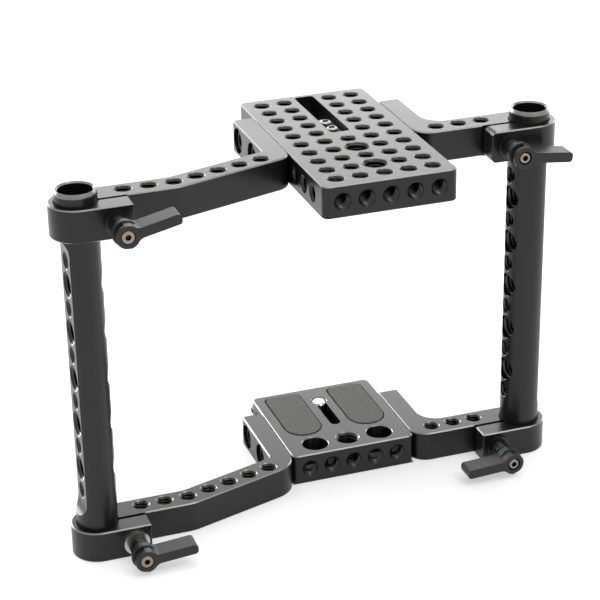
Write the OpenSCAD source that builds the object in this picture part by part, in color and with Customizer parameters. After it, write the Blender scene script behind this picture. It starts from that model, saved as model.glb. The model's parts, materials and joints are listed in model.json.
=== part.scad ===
// Camera cage: a long top plate and a short bottom plate, each with two side arms whose
// split clamps grip a pair of drilled tubes. Millimetres, +Z up, +Y to the rear, +X to the
// right seen from the front. The origin is at the underside of the middle tripod hole.

/* [Accessory holes] */
// Spacing of the accessory holes
hole_pitch = 9.525; // [9.4:0.025:10.5]
// Diameter of the small tapped holes
small_hole_d = 6.35; // [5:0.05:6.5]
// Diameter of the large tapped holes
large_hole_d = 9.525; // [8:0.025:9.6]
// Chamfer at the mouth of a hole
mouth_chamfer = 0.3; // [0.1:0.05:0.4]
// Rows of holes in the top plate
grid_rows = 10; // [8:1:10]
// Columns of holes in the top plate
grid_columns = 5; // [3:2:5]

/* [Plates] */
// Thickness of the plates and arms
frame_t = 12.7; // [12:0.1:14]
// Clear height between the two plates
inner_h = 119.6; // [110:0.1:130]
// Width of both plates
plate_w = 53; // [52:0.5:60]
// Length of the top plate, front to rear
top_plate_l = 99.8; // [99:0.2:110]
// How far the top plate's front edge lies ahead of the tripod hole
top_plate_front = 48.4; // [47.5:0.1:50]
// From the top plate's front edge to its first row of holes
first_row_inset = 7.4; // [6:0.1:8]
// Length of the bottom plate, front to rear
bottom_plate_l = 54.8; // [53:0.2:60]
// How far the bottom plate's front edge lies ahead of the tripod hole
bottom_plate_front = 8.1; // [7.5:0.1:10]
// Radius of the plates' upright corners
plate_corner_r = 2.6; // [1.5:0.1:4]
// Chamfer along the edges of plates and arms
edge_chamfer = 0.45; // [0.2:0.05:0.6]

/* [Arms] */
// Width of an arm, seen from above
arm_w = 11.3; // [10.5:0.1:12]
// Thickness of the leg that bolts to the plate's side
leg_t = 8.7; // [8:0.1:10]
// Rear end of the legs, behind the tripod hole
leg_rear = 32.9; // [31:0.1:36]
// Angle of the left arms' inner stretch
left_bend = 17.2; // [10:0.1:20]
// Angle of the row of holes on that stretch
left_row_bend = 15.5; // [10:0.1:18]
// Distance of the left arms' bend from the middle of the cage
left_bend_x = 74.9; // [72:0.1:78]
// From an arm's rear edge to its row of holes
arm_row_inset = 5; // [4.5:0.1:6]

/* [Tubes] */
// Diameter of the tubes
tube_d = 15.875; // [15:0.025:16.5]
// Height of the tube above the top arms
tube_stand = 4.8; // [3:0.1:8]
// Distance of the left tube from the middle of the cage
left_tube_x = 112.6; // [110:0.1:120]
// How far the left tube lies ahead of the tripod hole
left_tube_front = 27.05; // [26:0.05:28]
// Distance of the right tube from the middle of the cage
right_tube_x = 73.8; // [72:0.1:80]
// How far the right tube lies ahead of the tripod hole
right_tube_front = 8.2; // [7:0.1:9]
// Number of cross holes in a tube
tube_holes = 11; // [7:2:11]
// Distance of the milled flat from the tube's axis
flat_offset = 5.3; // [5:0.1:7]
// Angle by which the left tube's flat is turned forward from straight out
left_tube_turn = 2.5; // [-15:0.5:15]
// Angle by which the right tube's flat is turned back from straight out
right_tube_turn = 4.5; // [-15:0.5:15]

/* [Clamps] */
// Wall of the clamp ring round a tube
ring_wall = 2.38; // [2:0.02:3]
// Width of the slit in a clamp
slit_w = 1.6; // [1:0.1:2]
// From the tube's axis to the end of the left clamps' jaw
left_jaw_reach = 18.7; // [18:0.1:20]
// From the tube's axis to the end of the top right clamp's jaw
top_right_jaw_reach = 20.2; // [19.5:0.1:21]
// From the tube's axis to the end of the bottom right clamp's jaw
bottom_right_jaw_reach = 20.6; // [20:0.1:21]
// From the tube's axis to the left clamps' screws
left_screw_reach = 12.4; // [12.2:0.1:12.8]
// From the tube's axis to the top right clamp's screw
top_right_screw_reach = 12.9; // [12.4:0.1:13.5]
// From the tube's axis to the bottom right clamp's screw
bottom_right_screw_reach = 14.2; // [13:0.1:14.4]
// Diameter of the clamp screw
clamp_screw_d = 4.8; // [4:0.1:4.8]

/* [Levers] */
// Radius of a lever's hub
lever_hub_r = 4.4; // [4.2:0.1:4.8]
// Length of a lever from its screw to the tip
lever_l = 20.2; // [18:0.1:24]
// Height of a lever's arm
lever_arm_h = 4; // [3.5:0.1:4.6]
// Depth of a lever, front to rear
lever_depth = 7.8; // [7.6:0.1:8]
// From the washer's seat to the front of a lever
lever_front = 14.3; // [14.2:0.1:15]
// Travel of a lever when it is pulled out to be set over
lever_pull = 2.4; // [1.8:0.1:2.5]
// How far the top left lever stands off its clamp
top_left_stand = 0.8; // [0:0.1:3]
// How far the top right lever stands off its clamp
top_right_stand = 0.2; // [0:0.1:3]
// How far the bottom left lever stands off its clamp
bottom_left_stand = 1.5; // [0:0.1:3]
// How far the bottom right lever stands off its clamp
bottom_right_stand = 2.2; // [0:0.1:3]
// Angle of the top left lever above straight right
top_left_lever_angle = 12.5; // [0:0.5:60]
// Angle of the top right lever
top_right_lever_angle = -6.5; // [-10:0.5:60]
// Angle of the bottom left lever
bottom_left_lever_angle = 4.5; // [0:0.5:60]
// Angle of the bottom right lever, which points left
bottom_right_lever_angle = 183; // [120:0.5:184]

/* [Camera deck] */
// Distance of the two plain holes from the tripod hole
side_hole_x = 14.1; // [13.5:0.1:15]
// Diameter of the two plain holes
side_hole_d = 10.7; // [10:0.1:11]
// Width of a grip pad
pad_w = 15.2; // [14:0.1:16]
// Length of a grip pad
pad_l = 35.7; // [32:0.1:36]
// Distance between the two pads
pad_gap = 12.8; // [12:0.1:16]
// Front of the pads, behind the tripod hole
pad_front = 8.1; // [7.5:0.1:10]
// Height of the pads above the plate
pad_stand = 0.3; // [0.1:0.05:0.8]
// Width of the camera screw's slot
deck_slot_w = 4.5; // [4.4:0.1:5]
// Front end of that slot, behind the tripod hole
deck_slot_front = 12.4; // [10:0.1:14]
// Entry hole at the rear end of that slot, behind the tripod hole
deck_entry_y = 34.8; // [32:0.1:36]

/* [Top slot] */
// Width of the slot in the top plate
top_slot_w = 7.9; // [7:0.1:8.5]
// Front end of that slot, behind the tripod hole
top_slot_front = 5.1; // [4:0.1:6]
// From that slot's rear end to the plate's rear edge
top_slot_margin = 2.4; // [2:0.1:6]
// Length of the shoe carriage's clamp bar
carriage_l = 22.4; // [20:0.1:26]

/* [Hidden] */

// Smoothness of round cuts and of the arcs in an outline, coarser on tight ones
round_fn = 48;
arc_step_angle = 9;
tight_r = 4;
// Overrun of every cut past the face it leaves
overrun = 1;
// Points nearer than this are one point
same_point = 0.001;
// Clearances: turning or sliding shafts, sliding flats, and screws in plain holes
running_gap = 0.06;
sliding_gap = 0.1;
screw_gap = 0.25;
// Depth of a drill point as a share of the hole's radius
drill_point_share = 0.6;
// Depth of a hex socket as a share of the screw head's height
socket_depth_share = 0.55;
// Bevel of a screw head as a share of its height
head_bevel_share = 0.15;

// Heights of the frame
top_z = inner_h + frame_t;
cage_h = top_z + frame_t;
tube_l = cage_h + tube_stand;

// Top plate grid
first_row_y = first_row_inset - top_plate_front;
centre_rows = 5;
large_rows = [1, 3];
front_hole_depth = 10.4;
side_hole_depth = 7;
side_row_count = 3;

// Bottom plate holes
bottom_front_hole_depth = 5.6;
bottom_side_hole_y = 38.6;

// Arms
hub_r = tube_d / 2 + ring_wall;
leg_corner_r = 1.2;
outer_corner_r = 7.4;
bottom_left_corner_r = 12;
left_inner_r = 1.5;
right_inner_r = 8.5;
bend_r = 14;
jaw_corner_r = 0.6;
top_right_jaw_round = 2.3;
left_outer_holes = 2;
left_inner_holes = 4;
right_arm_holes = 3;
right_first_hole_x = 36.4;

// Bolts that hold the arms to the plates
bolt_d = 6.35;
bolt_head_d = 9.5;
bolt_head_h = 5;
bolt_sink = 1.2;
bolt_bore_gap = 0.35;
bolt_grip = 4;
bolt_socket_af = 4.76;
bolt_rear_inset = 6.7;
bolt_spacing = 17.6;

// Tubes
tube_hole_wall = 1.5875;
tube_hole_pitch = (small_hole_d + large_hole_d) / 2 + tube_hole_wall;
lip_chamfer_h = 1.5;
lip_chamfer_w = 0.8;
socket_r = 6.4;
socket_depth = 14;
socket_chamfer = 0.6;
runout_r = 7.8;
flat_end_inset = 23.5;

// Clamp screw, washer and lever, measured forward from the jaw's face
washer_r = 5.05;
washer_t = 1.2;
neck_r = 3.7;
neck_end = 4.7;
neck_groove_r = 3.2;
drum_r = 3;
drum_sides = 12;
left_thread_l = 9;
right_thread_l = 2.8;
web_t = 0.8;
collar_l = 1.2;
collar_r = 4.5;
hub_groove_l = 1.7;
hub_groove_r = 3.9;
hub_groove_end = 2.3;
lever_chamfer = 0.35;
lever_fillet_r = 3.4;
lever_tip_r = 1.4;
lever_rear = lever_front - lever_depth - collar_l + lever_chamfer;
drum_front = lever_rear + lever_pull - sliding_gap;
spring_seat = lever_rear + lever_pull + sliding_gap;

// Screw that holds a lever on, and the spring under its head
lever_screw_shank_r = 1.1;
lever_screw_head_h = 1.5;
lever_screw_socket_af = 2.1;
lever_socket_depth_share = 0.85;
left_lever_screw_r = 2.5;
right_lever_screw_r = 2.1;
lever_recess_r = 2.65;
spring_wire = 0.35;
spring_turns = 2.5;
spring_sides = 6;
spring_steps = 12;
spring_gap = 0.12;

// Camera screw
screw_thread_r = 3.12;
screw_end_r = 2.4;
screw_neck_r = 2.05;
screw_head_r = 6.3;
screw_head_h = 3.4;
screw_rest_z = 0.15;
screw_top_gap = 0.1;
screw_thread_l = 4.5;
screw_coin_w = 1.6;
screw_coin_depth = 1.5;
screw_washer_t = 0.6;
deck_lip = 4;
head_channel_gap = 0.5;

// Pads
pad_depth = 1.2;
pad_rear_r = 3;
pad_groove = 0.5;

// Shoe carriage in the top slot
slot_corner_r = 1.6;
ledge_t = 4.5;
ledge_gap_w = 6.4;
bar_front_gap = 0.4;
bar_top_sink = 2.7;
bar_round_r = 3.4;
foot_nut_w = 15;
foot_nut_t = 5;
foot_neck_w = 12.5;
foot_neck_t = 1.7;
foot_shoe_w = 18.6;
foot_shoe_l = 18;
foot_shoe_t = 2;
shoe_screw_x = -1.75;
shoe_screw_inset = 4.7;
shoe_screw_spacing = 7.4;
shoe_screw_head_r = 2.15;
shoe_screw_stand = 0.3;
shoe_screw_r = 1.1;
shoe_screw_socket_af = 2.6;

// Cap screw in the bottom plate's rear face
rear_screw_x = -23.9;
rear_screw_r = 2.35;
rear_screw_head_h = 2.4;
rear_screw_shank_r = 1.5;
rear_screw_l = 6;
rear_screw_socket_af = 2.2;

black = [0.09, 0.09, 0.1];
lever_grey = [0.2, 0.2, 0.2];
bare_steel = [0.78, 0.77, 0.75];
copper_steel = [0.72, 0.62, 0.54];
rubber_grey = [0.3, 0.3, 0.29];

// Outlines

function unit(v) = v / norm(v);

function arc(centre, r, from, sweep, step = arc_step_angle) =
    let (steps = max(2, ceil(abs(sweep) / step)))
    [for (i = [0:steps])
        let (a = from + sweep * i / steps)
        centre + r * [cos(a), sin(a)]];

// One rounded corner [point, radius] of an outline that runs anticlockwise
function corner_arc(before, corner, after, inset) =
    let (
        in = unit(corner[0] - before[0]),
        out = unit(after[0] - corner[0]),
        turn = cross(in, out) > 0 ? 1 : -1,
        half = acos(-in * out) / 2,
        centre = corner[0] + unit(out - in) * corner[1] / sin(half),
        from = atan2(-turn * in[0], turn * in[1]),
        step = corner[1] < tight_r ? 2 * arc_step_angle : arc_step_angle
    )
    arc(centre, corner[1] - turn * inset, from, turn * (180 - 2 * half), step);

// Full outline, without the doubled points where two arcs meet
function outline(corners, inset = 0) =
    let (
        n = len(corners),
        points = [for (i = [0:n - 1])
            each corner_arc(corners[(i + n - 1) % n], corners[i], corners[(i + 1) % n], inset)],
        last = len(points) - 1
    )
    [for (i = [0:last])
        if (norm(points[i] - points[i == 0 ? last : i - 1]) > same_point) points[i]];

function rectangle(x0, x1, y0, y1, r) =
    [[[x0, y0], r], [[x1, y0], r], [[x1, y1], r], [[x0, y1], r]];

// Triangles that fill an outline: its ears, the corners with nothing inside them, are cut
// off one by one
function turns_left(a, b, c) = cross(b - a, c - a) > 0;

function is_within(p, a, b, c) =
    turns_left(a, b, p) && turns_left(b, c, p) && turns_left(c, a, p);

function is_ear(points, a, b, c, loop) =
    turns_left(points[a], points[b], points[c])
    && len([for (i = loop) if (is_within(points[i], points[a], points[b], points[c])) i]) == 0;

function ears(points, loop, at = 0) =
    let (
        n = len(loop),
        i = at % n,
        a = loop[(i + n - 1) % n],
        b = loop[i],
        c = loop[(i + 1) % n]
    )
    n < 3 ? [] :
    is_ear(points, a, b, c, loop)
        ? concat([[a, b, c]], ears(points, [for (k = loop) if (k != b) k], i + 1))
        : ears(points, loop, i + 1);

// Slab with chamfered rims, from its full outline and its outline drawn in by the chamfer
module chamfered_slab(full, drawn_in, h, chamfer) {
    n = len(full);
    rings = [[drawn_in, 0], [full, chamfer], [full, h - chamfer], [drawn_in, h]];
    points = [for (ring = rings) for (p = ring[0]) [p[0], p[1], ring[1]]];
    sides = [for (k = [0:2]) for (i = [0:n - 1])
        [k * n + i, (k + 1) * n + i, (k + 1) * n + (i + 1) % n, k * n + (i + 1) % n]];
    fill = ears(drawn_in, [for (i = [0:n - 1]) i]);
    top = [for (t = fill) [3 * n + t[2], 3 * n + t[1], 3 * n + t[0]]];
    polyhedron(points = points, faces = concat(sides, fill, top));
}

module outlined_slab(corners, h) {
    chamfered_slab(outline(corners), outline(corners, edge_chamfer), h, edge_chamfer);
}

// Holes

// Through hole upwards from z = 0, chamfered at both mouths
module through_hole(d, t, low_chamfer = mouth_chamfer) {
    wide = d / 2 + mouth_chamfer + overrun;
    low_wide = d / 2 + low_chamfer + (low_chamfer > 0 ? overrun : 0);
    rotate_extrude($fn = round_fn)
        polygon([[0, -overrun], [low_wide, -overrun], [d / 2, low_chamfer],
                 [d / 2, t - mouth_chamfer], [wide, t + overrun], [0, t + overrun]]);
}

// Blind hole downwards from z = 0, with a drill point
module blind_hole(d, depth) {
    wide = d / 2 + mouth_chamfer + overrun;
    rotate_extrude($fn = round_fn)
        polygon([[0, overrun], [wide, overrun], [d / 2, -mouth_chamfer],
                 [d / 2, -depth], [0, -depth - drill_point_share * d / 2]]);
}

module hex_socket(across_flats, depth) {
    translate([0, 0, -depth])
        cylinder(d = across_flats / cos(30), h = depth + overrun, $fn = 6);
}

// Shapes turned so that their +Z points forward (-Y), left (-X), right (+X) or back (+Y)
module facing_front() { rotate([90, 0, 0]) children(); }
module facing_left() { rotate([0, -90, 0]) children(); }
module facing_right() { rotate([0, 90, 0]) children(); }
module facing_back() { rotate([-90, 0, 0]) children(); }

// Plates

function is_large(row) = len([for (r = large_rows) if (r == row) r]) > 0;

module grid_holes() {
    middle = (grid_columns - 1) / 2;
    for (column = [0:grid_columns - 1])
        for (row = [0:(column == middle ? centre_rows : grid_rows) - 1])
            translate([(column - middle) * hole_pitch, first_row_y + row * hole_pitch, 0])
                through_hole(column == middle && is_large(row) ? large_hole_d : small_hole_d,
                             frame_t);
}

module front_holes(plate_front, depth) {
    middle = (grid_columns - 1) / 2;
    for (column = [0:grid_columns - 1])
        translate([(column - middle) * hole_pitch, -plate_front, frame_t / 2])
            facing_front()
                blind_hole(small_hole_d, depth);
}

module bolt_holes() {
    for (i = [0, 1])
        translate([0, leg_rear - bolt_rear_inset - i * bolt_spacing, frame_t / 2]) {
            translate([plate_w / 2, 0, 0])
                facing_right()
                    blind_hole(bolt_d + 2 * running_gap, bolt_grip);
            translate([-plate_w / 2, 0, 0])
                facing_left()
                    blind_hole(bolt_d + 2 * running_gap, bolt_grip);
        }
}

module top_slot() {
    rear = top_plate_l - top_plate_front - top_slot_margin;
    wide = rectangle(-top_slot_w / 2, top_slot_w / 2, top_slot_front, rear, slot_corner_r);
    narrow = rectangle(-ledge_gap_w / 2, ledge_gap_w / 2, top_slot_front, rear, slot_corner_r);
    translate([0, 0, ledge_t])
        linear_extrude(frame_t)
            polygon(outline(wide));
    translate([0, 0, -overrun])
        linear_extrude(frame_t)
            polygon(outline(narrow));
}

module top_plate() {
    corners = rectangle(-plate_w / 2, plate_w / 2,
                        -top_plate_front, top_plate_l - top_plate_front, plate_corner_r);
    color(black)
        translate([0, 0, top_z])
            difference() {
                outlined_slab(corners, frame_t);
                grid_holes();
                front_holes(top_plate_front, front_hole_depth);
                for (i = [0:side_row_count - 1])
                    translate([0, first_row_y + (i + 1 / 2) * hole_pitch, frame_t / 2]) {
                        translate([plate_w / 2, 0, 0])
                            facing_right()
                                blind_hole(small_hole_d, side_hole_depth);
                        translate([-plate_w / 2, 0, 0])
                            facing_left()
                                blind_hole(small_hole_d, side_hole_depth);
                    }
                bolt_holes();
                top_slot();
            }
}

module pad_outline(x_sign, grow) {
    x = x_sign * (pad_gap + pad_w) / 2;
    w = pad_w + 2 * grow;
    polygon(outline([
        [[x - w / 2, pad_front - grow], w / 2],
        [[x + w / 2, pad_front - grow], w / 2],
        [[x + w / 2, pad_front + pad_l + grow], pad_rear_r],
        [[x - w / 2, pad_front + pad_l + grow], pad_rear_r]
    ]));
}

// Keyhole slot for the captive camera screw, with a wide channel for its head below
module deck_slot() {
    channel_r = screw_head_r + head_channel_gap;
    translate([0, deck_entry_y, frame_t - deck_lip])
        through_hole(2 * (screw_thread_r + running_gap), deck_lip, 0);
    slot_end = deck_slot_front + deck_slot_w / 2;
    translate([-deck_slot_w / 2, slot_end, -overrun])
        cube([deck_slot_w, deck_entry_y - slot_end, frame_t + 2 * overrun]);
    translate([0, slot_end, -overrun])
        cylinder(d = deck_slot_w, h = frame_t + 2 * overrun, $fn = round_fn);
    translate([-channel_r, slot_end, -overrun])
        cube([2 * channel_r, deck_entry_y - slot_end, frame_t - deck_lip + overrun]);
    for (y = [slot_end, deck_entry_y])
        translate([0, y, -overrun])
            cylinder(r = channel_r, h = frame_t - deck_lip + overrun, $fn = round_fn);
}

module bottom_plate() {
    corners = rectangle(-plate_w / 2, plate_w / 2,
                        -bottom_plate_front, bottom_plate_l - bottom_plate_front,
                        plate_corner_r);
    color(black)
        difference() {
            outlined_slab(corners, frame_t);
            through_hole(large_hole_d, frame_t, 0);
            for (side = [-1, 1]) {
                translate([side * side_hole_x, 0, 0])
                    through_hole(side_hole_d, frame_t);
                translate([0, 0, frame_t - pad_depth])
                    linear_extrude(frame_t)
                        pad_outline(side, pad_groove);
            }
            front_holes(bottom_plate_front, bottom_front_hole_depth);
            translate([plate_w / 2, bottom_side_hole_y, frame_t / 2])
                facing_right()
                    blind_hole(small_hole_d, side_hole_depth);
            translate([-plate_w / 2, bottom_side_hole_y, frame_t / 2])
                facing_left()
                    blind_hole(small_hole_d, side_hole_depth);
            bolt_holes();
            deck_slot();
            translate([rear_screw_x, bottom_plate_l - bottom_plate_front, frame_t / 2])
                facing_back()
                    translate([0, 0, -rear_screw_l])
                        cylinder(r = rear_screw_shank_r, h = rear_screw_l + overrun,
                                 $fn = round_fn);
        }
}

module grip_pad(side) {
    color(rubber_grey)
        translate([0, 0, frame_t - pad_depth])
            linear_extrude(pad_depth + pad_stand)
                pad_outline(side, 0);
}

module left_pad() { grip_pad(-1); }
module right_pad() { grip_pad(1); }

// Arms, drawn for the right side of the cage: x runs outwards, y to the rear

function left_arm_corners(corner_r) =
    let (
        rear = hub_r - left_tube_front,
        front = rear - arm_w,
        jaw_front = -hub_r - left_tube_front,
        jaw_x = left_tube_x - left_jaw_reach,
        end_x = left_tube_x + hub_r,
        rear_bend_x = left_bend_x + arm_row_inset * tan(left_bend / 2),
        front_bend_x = left_bend_x - (arm_w - arm_row_inset) * tan(left_bend / 2),
        leg_in = plate_w / 2,
        leg_out = leg_in + leg_t,
        slope = tan(left_bend)
    )
    [
        [[leg_in, front + (front_bend_x - leg_in) * slope], corner_r],
        [[front_bend_x, front], bend_r],
        [[jaw_x, front], edge_chamfer],
        [[jaw_x, jaw_front], jaw_corner_r],
        [[end_x, jaw_front], hub_r],
        [[end_x, rear], hub_r],
        [[rear_bend_x, rear], bend_r],
        [[leg_out, rear + (rear_bend_x - leg_out) * slope], left_inner_r],
        [[leg_out, leg_rear], leg_corner_r],
        [[leg_in, leg_rear], leg_corner_r]
    ];

function right_arm_corners(jaw_reach) =
    let (
        rear = hub_r - right_tube_front,
        front = rear - arm_w,
        jaw_front = -hub_r - right_tube_front,
        jaw_x = right_tube_x - jaw_reach,
        end_x = right_tube_x + hub_r,
        leg_in = plate_w / 2,
        leg_out = leg_in + leg_t
    )
    [
        [[leg_in, front], outer_corner_r],
        [[jaw_x, front], edge_chamfer],
        [[jaw_x, jaw_front], jaw_corner_r],
        [[end_x, jaw_front], hub_r],
        [[end_x, rear], hub_r],
        [[leg_out, rear], right_inner_r],
        [[leg_out, leg_rear], leg_corner_r],
        [[leg_in, leg_rear], leg_corner_r]
    ];

function left_hole_places() =
    let (row_y = hub_r - left_tube_front - arm_row_inset)
    concat(
        [for (i = [0:left_outer_holes]) [left_bend_x + i * hole_pitch, row_y]],
        [for (i = [1:left_inner_holes])
            [left_bend_x - i * hole_pitch * cos(left_row_bend),
             row_y + i * hole_pitch * sin(left_row_bend)]]
    );

function right_hole_places() =
    let (row_y = hub_r - right_tube_front - arm_row_inset)
    [for (i = [0:right_arm_holes - 1]) [right_first_hole_x + i * hole_pitch, row_y]];

// Counterbored hole through the leg, from its outer face inwards
module leg_bolt_hole() {
    bore_depth = bolt_head_h + bolt_sink;
    blind_hole(bolt_d + 2 * screw_gap, leg_t + overrun);
    translate([0, 0, -bore_depth])
        cylinder(r = bolt_head_d / 2 + bolt_bore_gap, h = bore_depth + overrun,
                 $fn = round_fn);
}

// Bore, slit and screw hole of one clamp
module clamp_cuts(tube_x, tube_y, jaw_reach, screw_reach, thread_l) {
    jaw_front = tube_y - hub_r;
    slit_rear = tube_y + hub_r - arm_w;
    screw_x = tube_x - screw_reach;
    translate([tube_x, tube_y, 0])
        through_hole(tube_d + 2 * running_gap, frame_t);
    translate([tube_x - jaw_reach - overrun, slit_rear - slit_w, -overrun])
        cube([jaw_reach + overrun, slit_w, frame_t + 2 * overrun]);
    translate([screw_x, slit_rear, frame_t / 2])
        facing_front()
            cylinder(d = clamp_screw_d + 2 * screw_gap,
                     h = slit_rear - jaw_front + overrun, $fn = round_fn);
    translate([screw_x, slit_rear + thread_l, frame_t / 2])
        facing_front()
            cylinder(d = clamp_screw_d + 2 * running_gap, h = thread_l + overrun,
                     $fn = round_fn);
}

// Rounds the two corners of the jaw, seen from the front
module jaw_rounding(jaw_x, jaw_front, jaw_t, r) {
    for (up = [0, 1])
        translate([jaw_x, jaw_front - overrun, up * frame_t])
            mirror([0, 0, up])
                difference() {
                    translate([-overrun, 0, -overrun])
                        cube([r + overrun, jaw_t + 2 * overrun, r + overrun]);
                    translate([r, -overrun, r])
                        facing_back()
                            cylinder(r = r, h = jaw_t + 4 * overrun, $fn = round_fn);
                }
}

module arm(corners, hole_places, tube_x, tube_y, jaw_reach, screw_reach, thread_l) {
    difference() {
        outlined_slab(corners, frame_t);
        for (place = hole_places)
            translate([place[0], place[1], 0])
                through_hole(small_hole_d, frame_t);
        for (i = [0, 1])
            translate([plate_w / 2 + leg_t,
                       leg_rear - bolt_rear_inset - i * bolt_spacing, frame_t / 2])
                facing_right()
                    leg_bolt_hole();
        clamp_cuts(tube_x, tube_y, jaw_reach, screw_reach, thread_l);
    }
}

module left_arm(corner_r) {
    color(black)
        mirror([1, 0, 0])
            arm(left_arm_corners(corner_r), left_hole_places(),
                left_tube_x, -left_tube_front, left_jaw_reach, left_screw_reach,
                left_thread_l);
}

module right_arm(jaw_reach, screw_reach) {
    color(black)
        arm(right_arm_corners(jaw_reach), right_hole_places(),
            right_tube_x, -right_tube_front, jaw_reach, screw_reach, right_thread_l);
}

module bottom_left_arm() { left_arm(bottom_left_corner_r); }
module bottom_right_arm() { right_arm(bottom_right_jaw_reach, bottom_right_screw_reach); }
module top_left_arm() { translate([0, 0, top_z]) left_arm(outer_corner_r); }

// The top right jaw has rounded corners
module top_right_arm() {
    jaw_t = 2 * hub_r - arm_w - slit_w;
    translate([0, 0, top_z])
        difference() {
            right_arm(top_right_jaw_reach, top_right_screw_reach);
            jaw_rounding(right_tube_x - top_right_jaw_reach, -right_tube_front - hub_r,
                         jaw_t, top_right_jaw_round);
        }
}

// Socket head bolt with its head's face at z = 0 and the shank downwards
module socket_bolt(head_r, head_h, shank_r, shank_l, socket_af,
                   depth_share = socket_depth_share) {
    bevel = head_h * head_bevel_share;
    difference() {
        union() {
            rotate_extrude($fn = round_fn)
                polygon([[0, 0], [head_r - bevel, 0], [head_r, -bevel],
                         [head_r, -head_h], [0, -head_h]]);
            translate([0, 0, -head_h - shank_l])
                cylinder(r = shank_r, h = shank_l + head_h / 2, $fn = round_fn);
        }
        hex_socket(socket_af, head_h * depth_share);
    }
}

module arm_bolts() {
    shank_l = leg_t - bolt_head_h - bolt_sink + bolt_grip;
    color(bare_steel)
        for (side = [0, 1])
            mirror([side, 0, 0])
                for (i = [0, 1])
                    translate([plate_w / 2 + leg_t - bolt_sink,
                               leg_rear - bolt_rear_inset - i * bolt_spacing, frame_t / 2])
                        facing_right()
                            socket_bolt(bolt_head_d / 2, bolt_head_h, bolt_d / 2, shank_l,
                                        bolt_socket_af);
}

module bottom_arm_bolts() { arm_bolts(); }
module top_arm_bolts() { translate([0, 0, top_z]) arm_bolts(); }

module rear_cap_screw() {
    color(bare_steel)
        translate([rear_screw_x, bottom_plate_l - bottom_plate_front + rear_screw_head_h,
                   frame_t / 2])
            facing_back()
                socket_bolt(rear_screw_r, rear_screw_head_h, rear_screw_shank_r,
                            rear_screw_l, rear_screw_socket_af);
}

// Tubes, with the flat towards +X

module cross_hole(d) {
    r = tube_d / 2;
    wide = d / 2 + mouth_chamfer + overrun;
    facing_right()
        rotate_extrude($fn = round_fn)
            polygon([[0, -r - overrun], [wide, -r - overrun], [d / 2, -r + mouth_chamfer],
                     [d / 2, flat_offset - mouth_chamfer],
                     [wide, flat_offset + overrun], [0, flat_offset + overrun]]);
}

module milled_flat() {
    flat_top = tube_l - flat_end_inset;
    translate([flat_offset, -tube_d, flat_end_inset])
        cube([tube_d, 2 * tube_d, flat_top - flat_end_inset]);
    for (z = [flat_end_inset, flat_top])
        translate([flat_offset + runout_r, -tube_d, z])
            facing_back()
                cylinder(r = runout_r, h = 2 * tube_d, $fn = round_fn);
}

module tube() {
    r = tube_d / 2;
    end_r = r - lip_chamfer_w;
    color(black)
        difference() {
            rotate_extrude($fn = 2 * round_fn)
                polygon([[0, 0], [end_r, 0], [r, lip_chamfer_h],
                         [r, tube_l - lip_chamfer_h], [end_r, tube_l], [0, tube_l]]);
            for (end = [0, 1])
                translate([0, 0, end * tube_l])
                    mirror([0, 0, 1 - end])
                        rotate_extrude($fn = round_fn)
                            polygon([[0, -socket_depth], [socket_r, -socket_depth],
                                     [socket_r, -socket_chamfer],
                                     [socket_r + socket_chamfer + overrun, overrun],
                                     [0, overrun]]);
            milled_flat();
            for (i = [0:tube_holes - 1])
                translate([0, 0, tube_l / 2 + (i - (tube_holes - 1) / 2) * tube_hole_pitch])
                    cross_hole(i % 2 == 0 ? small_hole_d : large_hole_d);
        }
}

module left_tube() {
    translate([-left_tube_x, -left_tube_front, 0])
        rotate([0, 0, 180 + left_tube_turn])
            tube();
}

module right_tube() {
    translate([right_tube_x, -right_tube_front, 0])
        rotate([0, 0, right_tube_turn])
            tube();
}

// Clamp levers. Each set is drawn at the origin with the jaw's face at z = 0, its +Z
// forward and the lever along +X, then turned and carried to its clamp.

// Places of the clamps as [side, height of the arm, reach of the screw, stand-off]
top_left = [-1, top_z, left_screw_reach, top_left_stand];
top_right = [1, top_z, top_right_screw_reach, top_right_stand];
bottom_left = [-1, 0, left_screw_reach, bottom_left_stand];
bottom_right = [1, 0, bottom_right_screw_reach, bottom_right_stand];

module at_jaw(place) {
    side = place[0];
    tube_x = side < 0 ? -left_tube_x : right_tube_x;
    tube_y = side < 0 ? -left_tube_front : -right_tube_front;
    translate([tube_x - side * place[2], tube_y - hub_r, place[1] + frame_t / 2])
        facing_front()
            children();
}

module at_lever(place) {
    at_jaw(place)
        translate([0, 0, place[3]])
            children();
}

module clamp_washer() {
    color(lever_grey)
        difference() {
            cylinder(r = washer_r, h = washer_t, $fn = round_fn);
            translate([0, 0, -overrun])
                cylinder(d = clamp_screw_d + 2 * screw_gap, h = washer_t + 2 * overrun,
                         $fn = round_fn);
        }
}

// Threaded shank, neck against the washer, and the drum that drives the lever
module clamp_screw(stand, thread_l) {
    tail = 2 * hub_r - arm_w + thread_l - sliding_gap;
    neck_start = washer_t + sliding_gap;
    color(lever_grey)
        difference() {
            union() {
                translate([0, 0, -tail])
                    cylinder(d = clamp_screw_d, h = tail + neck_end, $fn = round_fn);
                translate([0, 0, neck_start])
                    cylinder(r = neck_r, h = neck_end + stand - neck_start, $fn = round_fn);
                translate([0, 0, neck_end])
                    cylinder(r = neck_groove_r,
                             h = lever_rear + stand - sliding_gap - neck_end,
                             $fn = round_fn);
                translate([0, 0, neck_end])
                    cylinder(r = drum_r, h = drum_front + stand - neck_end,
                             $fn = drum_sides);
            }
            translate([0, 0, drum_front + stand - lever_pull])
                cylinder(r = lever_screw_shank_r, h = lever_pull + overrun, $fn = round_fn);
        }
}

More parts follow.
